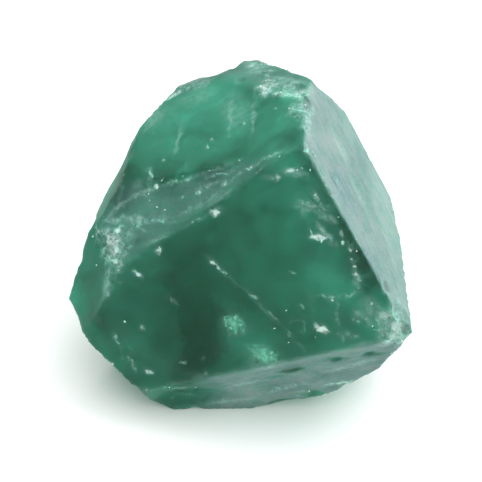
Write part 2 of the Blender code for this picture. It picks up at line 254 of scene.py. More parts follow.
# The same marks scattered over the rest of the stone: how many, and the spans of their sizes in mm
# and of their strength.
SCATTER_SEED = 21
SCATTERED_FLECKS = (80, (0.20, 0.90), (0.16, 0.30), (0.40, 0.75))    # half length and width, white
SCATTERED_MILK = (30, (1.4, 3.2), (-0.55, 0.55))                      # reach, how much
SEEN_WITHIN = -0.05                      # cosine from the marked side that is kept free of them
MARKED_SIDE = (-100, 40)

# Faces broken by blows into shallow bowls side by side, and how deep the bowls are in mm. The big
# bowls are longer than wide, and the small ones lie over them.
CHIPPED = {
    "apron": 0.05, "apron_right": 0.20, "corner_low": 0.12, "corner": 0.06, "back": 0.34,
    "back_low": 0.40, "back_right": 0.32, "right_mid": 0.16, "right_low": 0.24, "left_low": 0.18,
    "keel_left": 0.14, "crown_back": 0.22, "left_rim_back": 0.12, "left_back": 0.24,
    "left_high": 0.18, "back_left": 0.12,
}
BOWL_LENGTH = 4.6
BOWL_WIDTH = 2.8
SMALLER_BOWLS = (2.3, 1.9, 1.0)          # how many small bowls to a big one, along and across
STAIRS_PER_BOWL = 4.0

# How deep the rest of the relief is cut at each kind of mark, in mm.
ALL_OVER = 0.05
WAVES = 0.04
ROUGH_CUT = 0.12
FROST_CUT = 0.022
CRUSHED_CUT = 0.15
WORN_CUT = 0.12
FLECK_CUT = 0.06

# The smallest half length and half width that the grid of squares can show, in mm.
FINEST_MARK = (0.28, 0.22)

# How thickly loose grains lie on each kind of broken surface, from 0 to 1.
GRAINY_ALL_OVER = 0.0005
GRAINY_FROST = 0.001
GRAINY_CRUSHED = 0.25
GRAINY_WORN = 0.15
GRAINY_WHITE = 0.25
GRAINY_SPECKLED = 0.15


def directions(compass, height):
    """Unit vectors that look along compass directions and heights, in degrees."""
    compass = np.radians(compass)
    height = np.radians(height)
    level = np.cos(height)
    return np.stack([level * np.cos(compass), level * np.sin(compass), np.sin(height)], axis=-1)


def made_plain(piece):
    """Turn a piece's modifiers into plain mesh."""
    depsgraph = bpy.context.evaluated_depsgraph_get()
    piece.data = bpy.data.meshes.new_from_object(piece.evaluated_get(depsgraph))
    piece.modifiers.clear()


def fine_copy(node, name, grid):
    """A closed mesh of a solid's shape in even squares of about the given size."""
    welded = bmesh.new()
    welded.from_mesh(node.data)
    bmesh.ops.remove_doubles(welded, verts=welded.verts[:], dist=1e-6)
    welded.transform(GRID_TURN)
    cage = bpy.data.meshes.new(name)
    welded.to_mesh(cage)
    welded.free()
    piece = bpy.data.objects.new(name, cage)
    bpy.context.scene.collection.objects.link(piece)
    squares = piece.modifiers.new("Even squares", "REMESH")
    squares.mode = "VOXEL"
    squares.voxel_size = grid
    squares.use_smooth_shade = True
    made_plain(piece)
    piece.data.transform(GRID_TURN.inverted())
    laid = piece.modifiers.new("Laid on the faces", "SHRINKWRAP")
    laid.target = node
    soften = piece.modifiers.new("Worn edges", "SMOOTH")
    soften.factor = 0.5
    soften.iterations = 3
    made_plain(piece)
    return piece


def points_of(mesh):
    """The mesh's vertices from the heart, in mm."""
    spots = np.empty(len(mesh.vertices) * 3)
    mesh.vertices.foreach_get("co", spots)
    return spots.reshape(-1, 3) / MM - HEART


def ramp(values, low, high):
    """0 below low, 1 above high, and an easy curve between."""
    step = np.clip((values - low) / (high - low), 0.0, 1.0)
    return step * step * (3.0 - 2.0 * step)


def elsewhere(seed):
    """A step to another stretch of a noise, so that two noises of one size don't match."""
    return Vector((seed, 2.3 * seed, -1.7 * seed))


def ripple(spots, size, octaves, seed):
    """Smooth noise of about -1 to 1, with waves of the given size in mm."""
    shift = elsewhere(seed)
    return np.array([noise.fractal(Vector(spot) / size + shift, 0.6, 2.0, octaves,
                                   noise_basis="PERLIN_ORIGINAL") for spot in spots])


def bowls(spots, seed):
    """Bowls a unit wide, side by side: how deep each spot lies, 0 to 1, and how far off a ridge."""
    shift = elsewhere(seed)
    near = np.array([noise.voronoi(Vector(spot) + shift)[0][:2] for spot in spots])
    return 1.0 - near[:, 0], near[:, 1] - near[:, 0]


# The body, and which face each of its vertices lies on: the one that it is least far under.
solid = bpy.data.objects["emerald_crystal"]
stone = fine_copy(solid, "emerald", FINE_GRID)
spots = points_of(stone.data)
reach_of = np.linalg.norm(spots, axis=1, keepdims=True)

numbers = np.array(list(FACES.values()), dtype=float)
looks = directions(numbers[:, 0], numbers[:, 1])
depth = numbers[:, 2] - spots @ looks.T
face_of = depth.argmin(axis=1)

# How far each vertex is from the nearest real edge, along its own face.
SOFT_EDGE = math.sin(math.radians(15))   # faces that meet more gently than this make no edge
bend = np.sqrt(np.clip(1.0 - (looks @ looks.T) ** 2, 0.0, 1.0))[face_of]
edge_near = np.where(bend > SOFT_EDGE, depth / np.maximum(bend, SOFT_EDGE), 99.0).min(axis=1)
edge_near = np.clip(edge_near, 0.0, None)

# Level and climbing directions on each face, turned to lie along and across its growth lines.
level = np.cross((0.0, 0.0, 1.0), looks)
level[-1] = (1.0, 0.0, 0.0)
level /= np.linalg.norm(level, axis=1, keepdims=True)
climb = np.cross(looks, level)
lean = np.radians(numbers[:, 4])[:, None]
along = level * np.cos(lean) + climb * np.sin(lean)
across = np.cross(looks, along)

FROST_BLEND = 0.14                       # mm below the surface over which neighbours' frost blends
share = np.exp(-np.clip(depth - depth.min(axis=1, keepdims=True), 0.0, 6.0) / FROST_BLEND)
share /= share.sum(axis=1, keepdims=True)
frost = (share * numbers[:, 3]).sum(axis=1)
cloudy = (share * numbers[:, 5]).sum(axis=1)

warp = (ripple(spots, 0.8, 3, 11.0), ripple(spots, 0.8, 3, 17.0))
PATCH_DEPTH = 0.8                        # mm that a mark reaches off its own face


def where(compass, height):
    """The number of the vertex seen from the heart in one direction."""
    return (spots @ directions(compass, height) / reach_of[:, 0]).argmax()


def distance_from(compass, height):
    """How far each vertex is from the one seen from the heart in one direction, in mm."""
    return np.linalg.norm(spots - spots[where(compass, height)], axis=1)


def lie_of(compass, height, slope):
    """A vertex, the way that its face looks, and the ways along and across a slope on that face."""
    middle = where(compass, height)
    face = face_of[middle]
    tilt = math.radians(slope)
    lengthways = level[face] * math.cos(tilt) + climb[face] * math.sin(tilt)
    return middle, looks[face], lengthways, np.cross(looks[face], lengthways)


def patch(compass, height, half_length, half_width, slope, ragged=0.0):
    """How far each vertex is from an oval on the surface: 0 at its middle and 1 at its rim."""
    middle, outwards, lengthways, sideways = lie_of(compass, height, slope)
    offset = spots - spots[middle]
    return np.sqrt(((offset @ lengthways + ragged * warp[0]) / half_length) ** 2
                   + ((offset @ sideways + ragged * warp[1]) / half_width) ** 2
                   + (offset @ outwards / PATCH_DEPTH) ** 2)


chance = np.random.default_rng(SCATTER_SEED)


def scattered(count, *spans):
    """Directions all round the stone but not on its marked side, with a size from each span."""
    marks = []
    while len(marks) < count:
        way = chance.normal(size=3)
        way /= np.linalg.norm(way)
        sizes = [chance.uniform(low, high) for low, high in spans]
        if way @ directions(*MARKED_SIDE) < SEEN_WITHIN:
            compass = math.degrees(math.atan2(way[1], way[0]))
            marks.append((compass, math.degrees(math.asin(way[2])), *sizes))
    return marks


# What each spot is made of: clear, milky, frosted, hazy, white or crushed, and where painted light
# and painted shade make it paler or darker.
EDGE_PALENESS = 0.08                        # how much paler the crystal is made near its edges
EDGE_PALENESS_REACH = 1.2                   # mm
milk_and_painted_light = np.exp(-edge_near / EDGE_PALENESS_REACH) * EDGE_PALENESS
# Paler and darker spots: partly the crystal's own cloudiness, partly painted light and painted
# shade.
for compass, height, reach, strength in MILK_AND_PAINTED_LIGHT_SPOTS + tuple(scattered(*SCATTERED_MILK)):
    milk_and_painted_light += strength * np.exp(-((distance_from(compass, height) / reach) ** 2))
for oval in BARE:
    frost *= ramp(patch(*oval, ragged=0.5), 0.5, 1.5)

# The chipped faces: bowls of two sizes with ridges between them, each broken in steps as fine as
# hairs. The hollows are clearer and painted darker, a painted shade, and the ridges are paler,
# partly rubbed wear and partly a painted highlight.
chip_depth = np.array([CHIPPED.get(name, 0.0) for name in FACES])[face_of]
along_at = (spots * along[face_of]).sum(axis=1)
across_at = (spots * across[face_of]).sum(axis=1)
chipped_at = np.stack([along_at / BOWL_LENGTH + 0.10 * warp[0],
                       across_at / BOWL_WIDTH + 0.14 * warp[1], face_of * 3.1], axis=1)
big_bowl, big_ridge = bowls(chipped_at, 13.0)
small_bowl, small_ridge = bowls(chipped_at * SMALLER_BOWLS, 31.0)
ridge = 1.0 - ramp(np.minimum(big_ridge, 0.6 * small_ridge + 0.04), 0.0, 0.10)
stepping = STAIRS_PER_BOWL * (big_bowl + 0.5 * ripple(chipped_at, 1.6, 2, 13.0))
rise = stepping - np.floor(stepping)
stairs = np.floor(stepping) + ramp(rise, 0.80, 1.0)
chipped = ramp(chip_depth, 0.04, 0.20)
chip_depth *= 0.35 + 0.65 * ramp(edge_near, 0.1, 1.2)
# Painted shade in the bowl hollows and painted light on their ridges, besides the rubbed wear.
milk_and_painted_light += chipped * (0.30 * ridge - 0.50 * (big_bowl - 0.5) - 0.25 * (small_bowl - 0.5))
frost *= 1.0 - chipped * 0.7 * ramp(big_bowl + 0.4 * ripple(spots, 5.0, 2, 23.0), 0.35, 0.95)

crushed = np.zeros(len(spots))
for compass, height, reach, strength in CRUSHED:
    ragged = distance_from(compass, height) + 0.5 * warp[0]
    crushed = np.maximum(crushed, strength * (1.0 - ramp(ragged, 0.5 * reach, 1.5 * reach)))
white = np.zeros(len(spots))
rest = [(*mark[:4], chance.uniform(-90, 90), mark[4]) for mark in scattered(*SCATTERED_FLECKS)]
for compass, height, half_length, half_width, slope, strength in FLECKS + tuple(rest):
    spread = patch(compass, height, max(half_length, FINEST_MARK[0]),
                   max(half_width, FINEST_MARK[1]), slope, ragged=0.22)
    white = np.maximum(white, strength * (1.0 - ramp(spread, 0.25, 1.5)))
haze = np.maximum(0.45 * white, 0.70 * crushed * np.clip(0.8 + 0.5 * warp[1], 0.0, 1.2))
for compass, height, half_length, half_width, slope, strength in HAZE:
    spread = patch(compass, height, half_length, half_width, slope, ragged=0.35)
    haze = np.maximum(haze, strength * (1.0 - ramp(spread, 0.0, 1.8)))
frost = np.maximum(frost, 0.6 * haze)

# Relief. It only ever sinks below the solid's faces, and the foot that it stands on stays flat.
normals = np.empty(len(spots) * 3)
stone.data.vertices.foreach_get("normal", normals)
normals = normals.reshape(-1, 3)
waves = ripple(spots, 5.0, 2, 1.0)
streaks = ripple(np.stack([along_at * 0.28, across_at * 1.7, face_of * 5.0], axis=1), 1.0, 3, 3.0)
jagged = ripple(spots, 0.9, 3, 5.0)
clumps = ripple(spots, 1.6, 3, 7.0)
worn = (1.0 - ramp(edge_near, 0.10, 0.45)) * ramp(clumps, -0.35, 0.45)
worn = np.maximum(worn, 0.7 * ridge * chipped * ramp(clumps, -0.4, 0.4))
rough = np.zeros(len(spots))
for compass, height, reach, strength in ROUGH:
    spread = distance_from(compass, height) / reach
    rough = np.maximum(rough, strength * np.exp(-(spread ** 2)))
standing = ramp(spots[:, 2] + HEART[2], 0.05, 0.8)    # 0 on the foot and 1 above it
sink = (ALL_OVER + WAVES * waves
        + chip_depth * (0.5 + 1.1 * big_bowl + 0.6 * small_bowl + 0.25 * stairs + 0.5 * jagged)
        + rough * ROUGH_CUT * np.clip(0.7 + 1.3 * jagged, 0.0, 2.0)
        + frost * FROST_CUT * (1.0 + streaks)
        + crushed * CRUSHED_CUT * np.clip(0.8 + 1.2 * jagged, 0.0, 2.0)
        + worn * WORN_CUT * np.clip(0.6 + jagged, 0.0, 2.0)
        + white * FLECK_CUT)
sunk = spots - normals * (sink * standing)[:, None]
stone.data.vertices.foreach_set("co", ((sunk + HEART) * MM).ravel())
stone.data.update()

grainy = (GRAINY_ALL_OVER + GRAINY_FROST * frost + GRAINY_CRUSHED * crushed + GRAINY_WORN * worn
          + GRAINY_WHITE * ramp(white, 0.5, 1.0))
for compass, height, reach, strength in SPECKLED:
    spread = distance_from(compass, height) / reach
    grainy += GRAINY_SPECKLED * strength * np.exp(-(spread ** 2))
grainy = np.clip(grainy, 0.0, 1.0) * standing


def keep(mesh, name, values):
    """Store one number for each vertex, under a name that a material or a tree reads."""
    layer = mesh.attributes.new(name, "FLOAT", "POINT")
    layer.data.foreach_set("value", np.asarray(values, dtype=np.float32))


for name, values in (("frost", frost), ("cloudy", cloudy), ("milk_and_painted_light", milk_and_painted_light), ("crushed", crushed),
                     ("white", white), ("haze", haze), ("worn", worn), ("grainy", grainy)):
    keep(stone.data, name, values)

# A map in mm, with each face's growth lines lying along it.
corner_of = np.empty(len(stone.data.loops), dtype=np.int64)
stone.data.loops.foreach_get("vertex_index", corner_of)
first_corner = np.empty(len(stone.data.polygons), dtype=np.int64)
stone.data.polygons.foreach_get("loop_start", first_corner)
corners = np.empty(len(stone.data.polygons), dtype=np.int64)
stone.data.polygons.foreach_get("loop_total", corners)
square_face = np.repeat(face_of[corner_of[first_corner]], corners)
FACE_APART = (11.0, 7.0)                 # mm between the maps of two faces
lines = np.stack([(spots[corner_of] * ways[square_face]).sum(axis=1) + apart * square_face
                  for ways, apart in zip((along, across), FACE_APART)], axis=1)
line_map = stone.data.uv_layers.new(name="growth_lines")
line_map.data.foreach_set("uv", lines.astype(np.float32).ravel())


def put(tree, kind, **settings):
    """Add a node, with its own properties set."""
    node = tree.nodes.new(kind)
    for name, value in settings.items():
        setattr(node, name, value)
    return node


def number(tree, work, first, second=None, clamp=False):
    """A Math node; each term is a plain number or another node's output."""
    node = put(tree, "ShaderNodeMath", operation=work, use_clamp=clamp)
    for index, term in enumerate((first, second)):
        if isinstance(term, (int, float)):
            node.inputs[index].default_value = term
        elif term is not None:
            tree.links.new(term, node.inputs[index])
    return node.outputs[0]


def combined(tree, work, *terms):
    """The same Math node over three or more terms, worked from the last one back."""
    value = terms[-1]
    for term in terms[-2::-1]:
        value = number(tree, work, term, value)
    return value


def span(tree, value, low, high, to_low=0.0, to_high=1.0, kind="LINEAR"):
    """A Map Range node."""
    node = put(tree, "ShaderNodeMapRange", interpolation_type=kind)
    tree.links.new(value, node.inputs["Value"])
    for name, term in (("From Min", low), ("From Max", high),
                       ("To Min", to_low), ("To Max", to_high)):
        node.inputs[name].default_value = term
    return node.outputs["Result"]


def blend(tree, share, first, second):
    """A Mix node for colours; each is a plain colour or another node's output."""
    node = put(tree, "ShaderNodeMix", data_type="RGBA")
    tree.links.new(share, node.inputs["Factor"])
    for term, socket in ((first, node.inputs[6]), (second, node.inputs[7])):
        if isinstance(term, tuple):
            socket.default_value = (*term, 1.0)
        else:
            tree.links.new(term, socket)
    return node.outputs[2]


def grain(tree, place, scale, detail=3.0, rough=0.55, twist=0.0):
    """A Noise texture's value."""
    node = put(tree, "ShaderNodeTexNoise")
    tree.links.new(place, node.inputs["Vector"])
    for name, term in (("Scale", scale), ("Detail", detail),
                       ("Roughness", rough), ("Distortion", twist)):
        if isinstance(term, float):
            node.inputs[name].default_value = term
        else:
            tree.links.new(term, node.inputs[name])
    return node.outputs["Fac"]


CRUMB_FINER = 2.3                        # how many times finer the crumb is than the sugar
broken_grain = bpy.data.node_groups.new("Broken grain", "ShaderNodeTree")
for label, way, kind in (("Place", "INPUT", "NodeSocketVector"),
                         ("Grains per mm", "INPUT", "NodeSocketFloat"),
                         ("Sugar", "OUTPUT", "NodeSocketFloat"),
                         ("Crumb", "OUTPUT", "NodeSocketFloat")):
    broken_grain.interface.new_socket(label, in_out=way, socket_type=kind)
given = put(broken_grain, "NodeGroupInput")
result = put(broken_grain, "NodeGroupOutput")
finer = number(broken_grain, "MULTIPLY", given.outputs["Grains per mm"], CRUMB_FINER)
for label, scale in (("Sugar", given.outputs["Grains per mm"]), ("Crumb", finer)):
    speckle = grain(broken_grain, given.outputs["Place"], scale, 3.0, 0.60)
    broken_grain.links.new(speckle, result.inputs[label])


def broken(tree, place, grains_per_mm):
    """The look of crushed crystal: coarse sugar and fine crumb, two values of about 0.3 to 0.7."""
    node = put(tree, "ShaderNodeGroup", node_tree=broken_grain)
    tree.links.new(place, node.inputs["Place"])
    node.inputs["Grains per mm"].default_value = grains_per_mm
    return node.outputs["Sugar"], node.outputs["Crumb"]


def reading(tree, name):
    """A number kept on the mesh."""
    return put(tree, "ShaderNodeAttribute", attribute_name=name).outputs["Fac"]


def in_millimetres(tree):
    """Object coordinates, in mm."""
    place = put(tree, "ShaderNodeTexCoord")
    scaled = put(tree, "ShaderNodeMapping")
    scaled.inputs["Scale"].default_value = (1.0 / MM,) * 3
    tree.links.new(place.outputs["Object"], scaled.inputs["Vector"])
    return scaled.outputs["Vector"]


# The material. Clear green crystal is seen through a milky skin, which is thicker where the stone
# is cloudy, frosted, hazy, white or crushed. Each pair of colours runs from thin or deep to thick
# or pale.
NOISE_SPAN = (0.3, 0.7)                  # where nearly all of a noise's values lie
DEEP_GREEN, MINT_GREEN = (0.013, 0.104, 0.060), (0.062, 0.405, 0.265)
THIN_FROST, THICK_FROST = (0.134, 0.228, 0.228), (0.252, 0.286, 0.285)
THIN_HAZE, THICK_HAZE = (0.34, 0.60, 0.52), (0.54, 0.68, 0.63)
CRUSHED_GREY, FLECK_GREEN, FLECK_WHITE = (0.36, 0.54, 0.48), (0.22, 0.57, 0.46), (0.70, 0.90, 0.83)
# The faces are never polished, so the clear crystal's roughness starts at a satin.
SATIN, FROSTED_MORE = 0.285, 0.25
SKIN_DEPTH = 0.35 * MM
GREEN_PER_METRE = 200.0

emerald = bpy.data.materials.new("Raw emerald")
emerald.use_nodes = True
tree = emerald.node_tree
tree.nodes.clear()
mm = in_millimetres(tree)
lines_at = put(tree, "ShaderNodeUVMap", uv_map="growth_lines")
stretch = put(tree, "ShaderNodeMapping")
stretch.inputs["Scale"].default_value = (0.30, 1.9, 1.0)
tree.links.new(lines_at.outputs["UV"], stretch.inputs["Vector"])
streak = grain(tree, stretch.outputs["Vector"], 1.0, 2.5, 0.55, 0.2)
blotch = grain(tree, mm, 0.22, 4.0, 0.55, 0.2)
wisp = grain(tree, mm, 0.60, 4.0, 0.55, 0.3)
sugar, crumb = broken(tree, mm, 1.5)

frosted = reading(tree, "frost")
patchy = combined(tree, "ADD", span(tree, streak, *NOISE_SPAN, 0.70, 1.06),
                  span(tree, crumb, *NOISE_SPAN, -0.12, 0.12),
                  span(tree, wisp, 0.35, 0.65, -0.10, 0.12))
frost_mask = number(tree, "MULTIPLY", frosted, patchy, clamp=True)

# White where it is flecked, and less so where it is crushed or worn, in ragged patches.
whiteness = reading(tree, "white")
marked = combined(tree, "MAXIMUM", whiteness,
                  number(tree, "MULTIPLY", reading(tree, "crushed"), 0.70),
                  number(tree, "MULTIPLY", reading(tree, "worn"), 0.42))
ragged = number(tree, "ADD", span(tree, sugar, *NOISE_SPAN, -0.34, 0.32),
                span(tree, crumb, *NOISE_SPAN, -0.22, 0.18))
white_mask = span(tree, number(tree, "ADD", marked, ragged), 0.30, 0.98, kind="SMOOTHSTEP")
thin = blend(tree, span(tree, whiteness, 0.1, 0.4), CRUSHED_GREY, FLECK_GREEN)
shard = blend(tree, span(tree, whiteness, 0.45, 1.0), thin, FLECK_WHITE)

# The tone that picks the greens and the frost colours: the kept milkiness with its painted light
# and painted shade, plus noise.
shade = combined(tree, "ADD", reading(tree, "milk_and_painted_light"), span(tree, wisp, *NOISE_SPAN, -0.12, 0.12),
                 span(tree, blotch, *NOISE_SPAN, -0.20, 0.20))
shade = number(tree, "ADD", shade, span(tree, crumb, *NOISE_SPAN, -0.10, 0.10))
depths = blend(tree, span(tree, shade, -0.5, 0.9), DEEP_GREEN, MINT_GREEN)
ground = blend(tree, span(tree, shade, -0.6, 0.8), THIN_FROST, THICK_FROST)

hazy = reading(tree, "haze")
clouding = number(tree, "ADD", span(tree, sugar, 0.33, 0.67, 0.20, 1.40),
                  span(tree, crumb, *NOISE_SPAN, -0.45, 0.45))
haze_mask = number(tree, "MULTIPLY", hazy, clouding, clamp=True)
veiled = blend(tree, haze_mask, blend(tree, frost_mask, depths, ground),
               blend(tree, span(tree, hazy, 0.5, 1.0), THIN_HAZE, THICK_HAZE))
skin_colour = blend(tree, white_mask, veiled, shard)

cloud = number(tree, "ADD", reading(tree, "cloudy"), span(tree, shade, -0.5, 0.9, -0.03, 0.24))
cloud = number(tree, "ADD", cloud, number(tree, "MULTIPLY", frost_mask, 0.3), clamp=True)
covered = number(tree, "MULTIPLY", number(tree, "MAXIMUM", white_mask, haze_mask), 0.9)
skin_share = number(tree, "MAXIMUM", cloud, covered)

ridges = number(tree, "MULTIPLY", number(tree, "MULTIPLY", streak, frosted), 0.07)
crumbs = number(tree, "ADD",
                number(tree, "MULTIPLY", number(tree, "MULTIPLY", crumb, white_mask), 0.14),
                number(tree, "MULTIPLY", number(tree, "MULTIPLY", crumb, frosted), 0.020))
relief = combined(tree, "ADD", ridges, crumbs, number(tree, "MULTIPLY", wisp, 0.02))
bump = put(tree, "ShaderNodeBump")
bump.inputs["Strength"].default_value = 0.6
bump.inputs["Distance"].default_value = 1.0 * MM
tree.links.new(relief, bump.inputs["Height"])

clear = put(tree, "ShaderNodeBsdfPrincipled")
clear.inputs["Base Color"].default_value = (0.90, 1.0, 0.95, 1.0)
clear.inputs["IOR"].default_value = BERYL_IOR
clear.inputs["Transmission Weight"].default_value = 1.0
satin = number(tree, "ADD", SATIN, number(tree, "MULTIPLY", frost_mask, FROSTED_MORE))
tree.links.new(satin, clear.inputs["Roughness"])
tree.links.new(bump.outputs["Normal"], clear.inputs["Normal"])

skin = put(tree, "ShaderNodeBsdfPrincipled")
skin.inputs["Roughness"].default_value = 0.42
skin.inputs["IOR"].default_value = BERYL_IOR
skin.inputs["Specular IOR Level"].default_value = 0.04
skin.inputs["Subsurface Weight"].default_value = 1.0
skin.inputs["Subsurface Radius"].default_value = (0.25, 1.0, 0.65)
skin.inputs["Subsurface Scale"].default_value = SKIN_DEPTH
tree.links.new(skin_colour, skin.inputs["Base Color"])
tree.links.new(bump.outputs["Normal"], skin.inputs["Normal"])

# Light from the lamp passes the surface unbent, and the volume takes its red out of it.
body = put(tree, "ShaderNodeMixShader")
tree.links.new(skin_share, body.inputs[0])
tree.links.new(clear.outputs[0], body.inputs[1])
tree.links.new(skin.outputs[0], body.inputs[2])
light_path = put(tree, "ShaderNodeLightPath")
passing = put(tree, "ShaderNodeBsdfTransparent")
passing.inputs["Color"].default_value = (0.72, 0.80, 0.76, 1.0)
lamp_light = put(tree, "ShaderNodeMixShader")
tree.links.new(light_path.outputs["Is Shadow Ray"], lamp_light.inputs[0])
tree.links.new(body.outputs[0], lamp_light.inputs[1])
tree.links.new(passing.outputs[0], lamp_light.inputs[2])
depth_tint = put(tree, "ShaderNodeVolumeAbsorption")
depth_tint.inputs["Color"].default_value = (0.067, 0.633, 0.49, 1.0)
depth_tint.inputs["Density"].default_value = GREEN_PER_METRE
surface = put(tree, "ShaderNodeOutputMaterial")
tree.links.new(lamp_light.outputs[0], surface.inputs["Surface"])
tree.links.new(depth_tint.outputs[0], surface.inputs["Volume"])

stone.data.materials.clear()
stone.data.materials.append(emerald)
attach(stone, "root")
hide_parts("emerald_crystal")

# ------------------------------------------------------------------------------------------------
# The crushed grains. Where the crest, the corners and the ridges have been knocked, the crystal is
# broken to a white sugar: angular grains one or two tenths of a millimetre across, half sunk in
# the stone.
# ------------------------------------------------------------------------------------------------
GRAIN_SEED = 4
GRAINS_PER_MM2 = 6.0
GRAIN_SPACING = 0.16 * MM
GRAIN_RADIUS = (0.04 * MM, 0.16 * MM)
GRAIN_SQUASH = ((0.45,) * 3, (1.25,) * 3)
GRAIN_GREEN, GRAIN_WHITE = (0.14, 0.38, 0.29), (0.60, 0.76, 0.70)

sugar_stuff = bpy.data.materials.new("Crushed emerald")
sugar_stuff.use_nodes = True
tree = sugar_stuff.node_tree
tree.nodes.clear()
mm = in_millimetres(tree)
milky_grain = put(tree, "ShaderNodeBsdfPrincipled")
milky_grain.inputs["Roughness"].default_value = 0.30
milky_grain.inputs["IOR"].default_value = BERYL_IOR
sugar, crumb = broken(tree, mm, 2.6)
tree.links.new(blend(tree, span(tree, sugar, 0.35, 0.65), GRAIN_GREEN, GRAIN_WHITE),
               milky_grain.inputs["Base Color"])
surface = put(tree, "ShaderNodeOutputMaterial")
tree.links.new(milky_grain.outputs[0], surface.inputs["Surface"])


def scatter_tree(name, crowded_by, squashes, turns):
    """A geometry tree that strews small bits over a mesh, most thickly where a number kept on the
    mesh is high, each with a random size, squash and turn between two limits. The bit itself and
    the way that it stands are linked in afterwards, to the nodes that come back with the tree."""
    tree = bpy.data.node_groups.new(name, "GeometryNodeTree")
    for label, way, kind in (("Geometry", "INPUT", "Geometry"),
                             ("Bits per square metre", "INPUT", "Float"),
                             ("Spacing", "INPUT", "Float"), ("Smallest", "INPUT", "Float"),
                             ("Largest", "INPUT", "Float"), ("Seed", "INPUT", "Int"),
                             ("Material", "INPUT", "Material"),
                             ("Geometry", "OUTPUT", "Geometry")):
        tree.interface.new_socket(label, in_out=way, socket_type="NodeSocket" + kind)
    given = put(tree, "NodeGroupInput").outputs
    result = put(tree, "NodeGroupOutput")
    crowding = put(tree, "GeometryNodeInputNamedAttribute", data_type="FLOAT")
    crowding.inputs["Name"].default_value = crowded_by
    points = put(tree, "GeometryNodeDistributePointsOnFaces", distribute_method="POISSON")
    size = put(tree, "FunctionNodeRandomValue", data_type="FLOAT")
    squash = put(tree, "FunctionNodeRandomValue", data_type="FLOAT_VECTOR")
    turn = put(tree, "FunctionNodeRandomValue", data_type="FLOAT_VECTOR")
    for node, limits in ((squash, squashes), (turn, turns)):
        node.inputs[0].default_value, node.inputs[1].default_value = limits
    shape = put(tree, "ShaderNodeVectorMath", operation="SCALE")
    placed = put(tree, "GeometryNodeInstanceOnPoints")
    real = put(tree, "GeometryNodeRealizeInstances")
    dress = put(tree, "GeometryNodeSetMaterial")
    for source, target in (
            (given["Geometry"], points.inputs["Mesh"]),
            (given["Bits per square metre"], points.inputs["Density Max"]),
            (given["Spacing"], points.inputs["Distance Min"]),
            (crowding.outputs["Attribute"], points.inputs["Density Factor"]),
            (given["Seed"], points.inputs["Seed"]),
            (given["Smallest"], size.inputs[2]),
            (given["Largest"], size.inputs[3]),
            (squash.outputs[0], shape.inputs[0]),
            (size.outputs[1], shape.inputs["Scale"]),
            (points.outputs["Points"], placed.inputs["Points"]),
            (shape.outputs[0], placed.inputs["Scale"]),
            (placed.outputs["Instances"], real.inputs["Geometry"]),
            (real.outputs["Geometry"], dress.inputs["Geometry"]),
            (given["Material"], dress.inputs["Material"]),
            (dress.outputs["Geometry"], result.inputs["Geometry"])):
        tree.links.new(source, target)
    return tree, points, turn, placed


def strew(base, tree, name, per_mm2, spacing, radius, seed, stuff):
    """Run a scattering tree on a base mesh and keep the bits as a plain mesh."""
    piece = bpy.data.objects.new(name, base)
    bpy.context.scene.collection.objects.link(piece)
    modifier = piece.modifiers.new(name, "NODES")
    modifier.node_group = tree
    sockets = {item.name: item.identifier for item in tree.interface.items_tree
               if item.item_type == "SOCKET" and item.in_out == "INPUT"}
    for label, value in (("Bits per square metre", per_mm2 / MM ** 2), ("Spacing", spacing),
                         ("Smallest", radius[0]), ("Largest", radius[1]),
                         ("Seed", seed), ("Material", stuff)):
        modifier[sockets[label]] = value
    made_plain(piece)
    piece.data.name = name
    return piece


tree, points, turn, placed = scatter_tree("Scatter crushed grains", "grainy", GRAIN_SQUASH,
                                          ((0.0,) * 3, (math.tau,) * 3))
lump = put(tree, "GeometryNodeMeshIcoSphere")
lump.inputs["Subdivisions"].default_value = 1
lump.inputs["Radius"].default_value = 1.0
facets = put(tree, "GeometryNodeSetShadeSmooth")
facets.inputs["Shade Smooth"].default_value = False
tree.links.new(lump.outputs["Mesh"], facets.inputs["Geometry"])
tree.links.new(facets.outputs["Geometry"], placed.inputs["Instance"])
tree.links.new(turn.outputs[0], placed.inputs["Rotation"])
grains = strew(stone.data, tree, "crushed_grains", GRAINS_PER_MM2, GRAIN_SPACING, GRAIN_RADIUS,
               GRAIN_SEED, sugar_stuff)
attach(grains, "root")

# ------------------------------------------------------------------------------------------------
# The veils. Just under the front face two healed cracks hang in the clear crystal: clouds of thin
# flakes, each a tenth or two of a millimetre wide, which catch the light and are painted to glow
# mint green: a painted glow, light of their own that stands for light gathered in the crystal.
# ------------------------------------------------------------------------------------------------
VEIL_SEED = 9
# Compass and height of each veil, half length and half width in mm, slope, and depth under the
# face.
VEILS = ((-94, -13.5, 1.45, 1.15, -20, 0.45), (-80, -20.6, 1.75, 1.05, -15, 0.30))
VEIL_SIDES = 28
VEIL_RISE = 0.15                         # mm that its middle stands above its rim
VEIL_RAGGED = 0.22                       # how far its outline wanders, as a share of its size
RIM_FULLNESS = 0.06                      # how thickly flakes lie at its rim, against its middle
FLAKES_PER_MM2 = 230.0
FLAKE_SPACING = 0.05 * MM
FLAKE_RADIUS = (0.04 * MM, 0.11 * MM)
FLAKE_SQUASH = ((0.5, 0.5, 1.0), (1.3, 1.3, 1.0))
FLAKE_TILT = ((-0.5, -0.5, 0.0), (0.5, 0.5, math.tau))
FLAKE_GREEN, FLAKE_MINT = (0.05, 0.45, 0.28), (0.35, 0.90, 0.70)
# The colours of the painted glow that the flakes give off.
PAINTED_GLOW_GREEN, PAINTED_GLOW_MINT = (0.02, 0.17, 0.09), (0.28, 1.0, 0.70)

